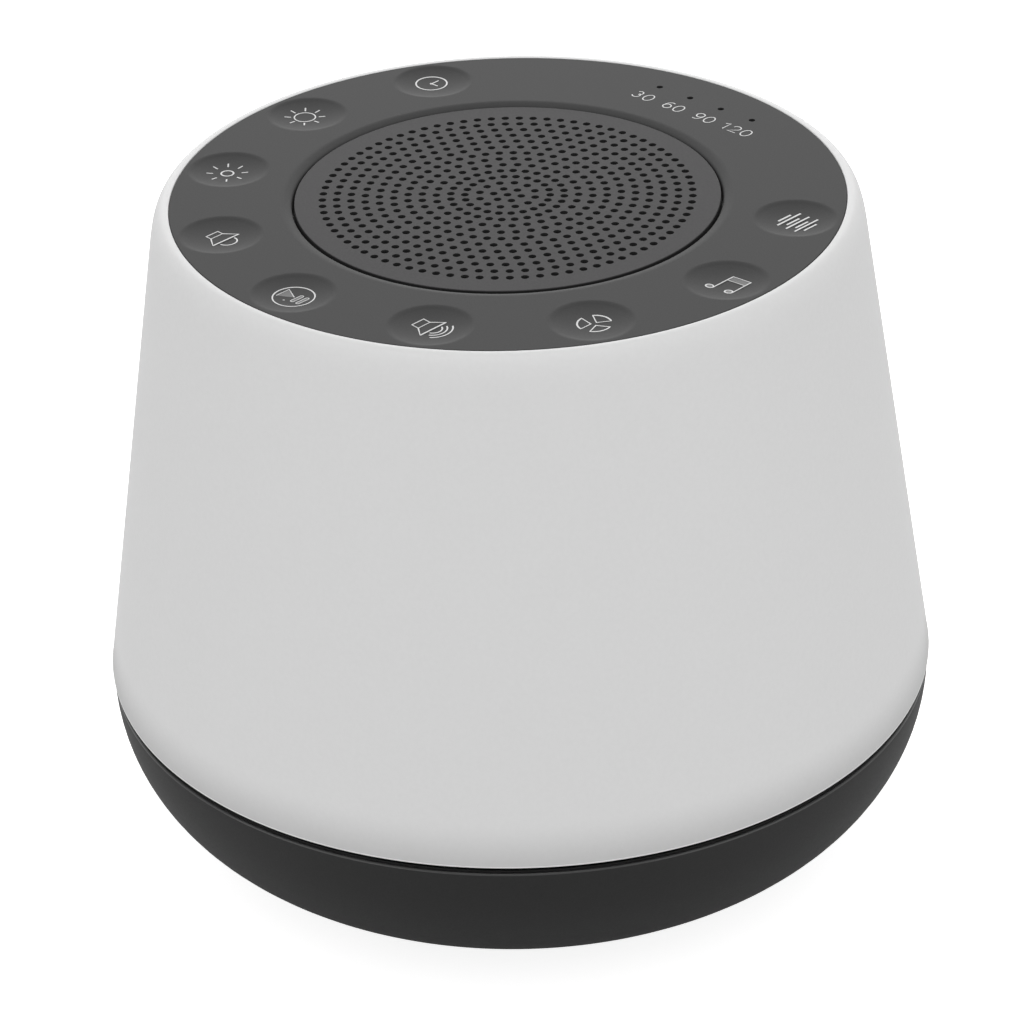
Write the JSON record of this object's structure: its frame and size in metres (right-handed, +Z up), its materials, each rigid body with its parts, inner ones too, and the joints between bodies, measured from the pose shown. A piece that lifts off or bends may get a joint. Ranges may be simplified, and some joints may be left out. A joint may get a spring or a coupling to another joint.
{
  "type": "white noise sound machine",
  "caption": "Bedside sound machine: translucent tapered lamp body on a dark bowl base, with a round top panel of dished keys around a perforated speaker grille.",
  "frame": {"origin": "on the table, under the machine's axis", "axes": "+Z up along the axis, -Y to the front (the play key), +Y to the back (timer lights, power socket), +X to the user's right"},
  "size_m": [0.11, 0.11, 0.09],
  "materials": {
    "shell": "satin white, lets light through",
    "base": "fine matte dark grey",
    "panel": "soft matte mid grey silicone",
    "key": "soft matte mid grey silicone",
    "grille": "satin dark grey",
    "cloth": "black woven",
    "inner": "moulded white",
    "board": "green laminate",
    "switch_stem": "moulded black",
    "guide": "clear",
    "foam": "black closed-cell foam",
    "socket": "plated",
    "steel": "zinc plated",
    "screw": "zinc plated",
    "magnet": "dark ferrite",
    "paper": "black pulp",
    "copper": "enamelled copper wire",
    "cotton": "resin-dipped cotton",
    "rubber": "soft black",
    "foot": "matte black",
    "wire": "black sleeve"
  },
  "bodies": {
    "housing": {"diffuser_shell": "shell", "base_shell": "base", "keypad_panel": "panel", "speaker_grille": "grille", "grille_cloth": "cloth", "top_deck": "inner", "inner_frame": "inner", "timer_light_guide": "guide", "key_board": "board", "light_board": "board", "main_board": "board", "usb_socket": "socket", "speaker_gasket": "foam", "speaker_frame": "steel", "surround": "rubber", "spider": "cotton", "top_plate": "steel", "magnet": "magnet", "yoke": "steel", "speaker_lead": "wire", "key_harness": "wire", "foot_1": "foot", "base_screw_1": "screw", "foot_2": "foot", "base_screw_2": "screw", "foot_3": "foot", "base_screw_3": "screw", "foot_4": "foot", "base_screw_4": "screw", "deck_screw_1": "screw", "key_board_screw_1": "screw", "speaker_screw_1": "screw", "deck_screw_2": "screw", "key_board_screw_2": "screw", "speaker_screw_2": "screw", "deck_screw_3": "screw", "key_board_screw_3": "screw", "speaker_screw_3": "screw"},
    "timer_button": {"timer_key": "key", "timer_switch_stem": "switch_stem"},
    "light_up_button": {"light_up_key": "key", "light_up_switch_stem": "switch_stem"},
    "light_down_button": {"light_down_key": "key", "light_down_switch_stem": "switch_stem"},
    "volume_down_button": {"volume_down_key": "key", "volume_down_switch_stem": "switch_stem"},
    "play_button": {"play_key": "key", "play_switch_stem": "switch_stem"},
    "volume_up_button": {"volume_up_key": "key", "volume_up_switch_stem": "switch_stem"},
    "fan_button": {"fan_key": "key", "fan_switch_stem": "switch_stem"},
    "music_button": {"music_key": "key", "music_switch_stem": "switch_stem"},
    "noise_button": {"noise_key": "key", "noise_switch_stem": "switch_stem"},
    "speaker_diaphragm": {"speaker_cone": "paper", "dust_cap": "paper", "voice_coil": "copper"}
  },
  "joints": [
    {"name": "timer_press", "type": "slide", "parent": "housing", "child": "timer_button", "axis": [0, 0, -1], "range_m": [0, 0.0005], "stiffness_N_per_m": 2500, "springref_m": -0.0001},
    {"name": "light_up_press", "type": "slide", "parent": "housing", "child": "light_up_button", "axis": [0, 0, -1], "range_m": [0, 0.0005], "stiffness_N_per_m": 2500, "springref_m": -0.0001},
    {"name": "light_down_press", "type": "slide", "parent": "housing", "child": "light_down_button", "axis": [0, 0, -1], "range_m": [0, 0.0005], "stiffness_N_per_m": 2500, "springref_m": -0.0001},
    {"name": "volume_down_press", "type": "slide", "parent": "housing", "child": "volume_down_button", "axis": [0, 0, -1], "range_m": [0, 0.0005], "stiffness_N_per_m": 2500, "springref_m": -0.0001},
    {"name": "play_press", "type": "slide", "parent": "housing", "child": "play_button", "axis": [0, 0, -1], "range_m": [0, 0.0005], "stiffness_N_per_m": 2500, "springref_m": -0.0001},
    {"name": "volume_up_press", "type": "slide", "parent": "housing", "child": "volume_up_button", "axis": [0, 0, -1], "range_m": [0, 0.0005], "stiffness_N_per_m": 2500, "springref_m": -0.0001},
    {"name": "fan_press", "type": "slide", "parent": "housing", "child": "fan_button", "axis": [0, 0, -1], "range_m": [0, 0.0005], "stiffness_N_per_m": 2500, "springref_m": -0.0001},
    {"name": "music_press", "type": "slide", "parent": "housing", "child": "music_button", "axis": [0, 0, -1], "range_m": [0, 0.0005], "stiffness_N_per_m": 2500, "springref_m": -0.0001},
    {"name": "noise_press", "type": "slide", "parent": "housing", "child": "noise_button", "axis": [0, 0, -1], "range_m": [0, 0.0005], "stiffness_N_per_m": 2500, "springref_m": -0.0001},
    {"name": "diaphragm_stroke", "type": "slide", "parent": "housing", "child": "speaker_diaphragm", "axis": [0, 0, 1], "range_m": [-0.0008, 0.0008], "stiffness_N_per_m": 2000, "deforming": ["surround", "spider"]}
  ]
}
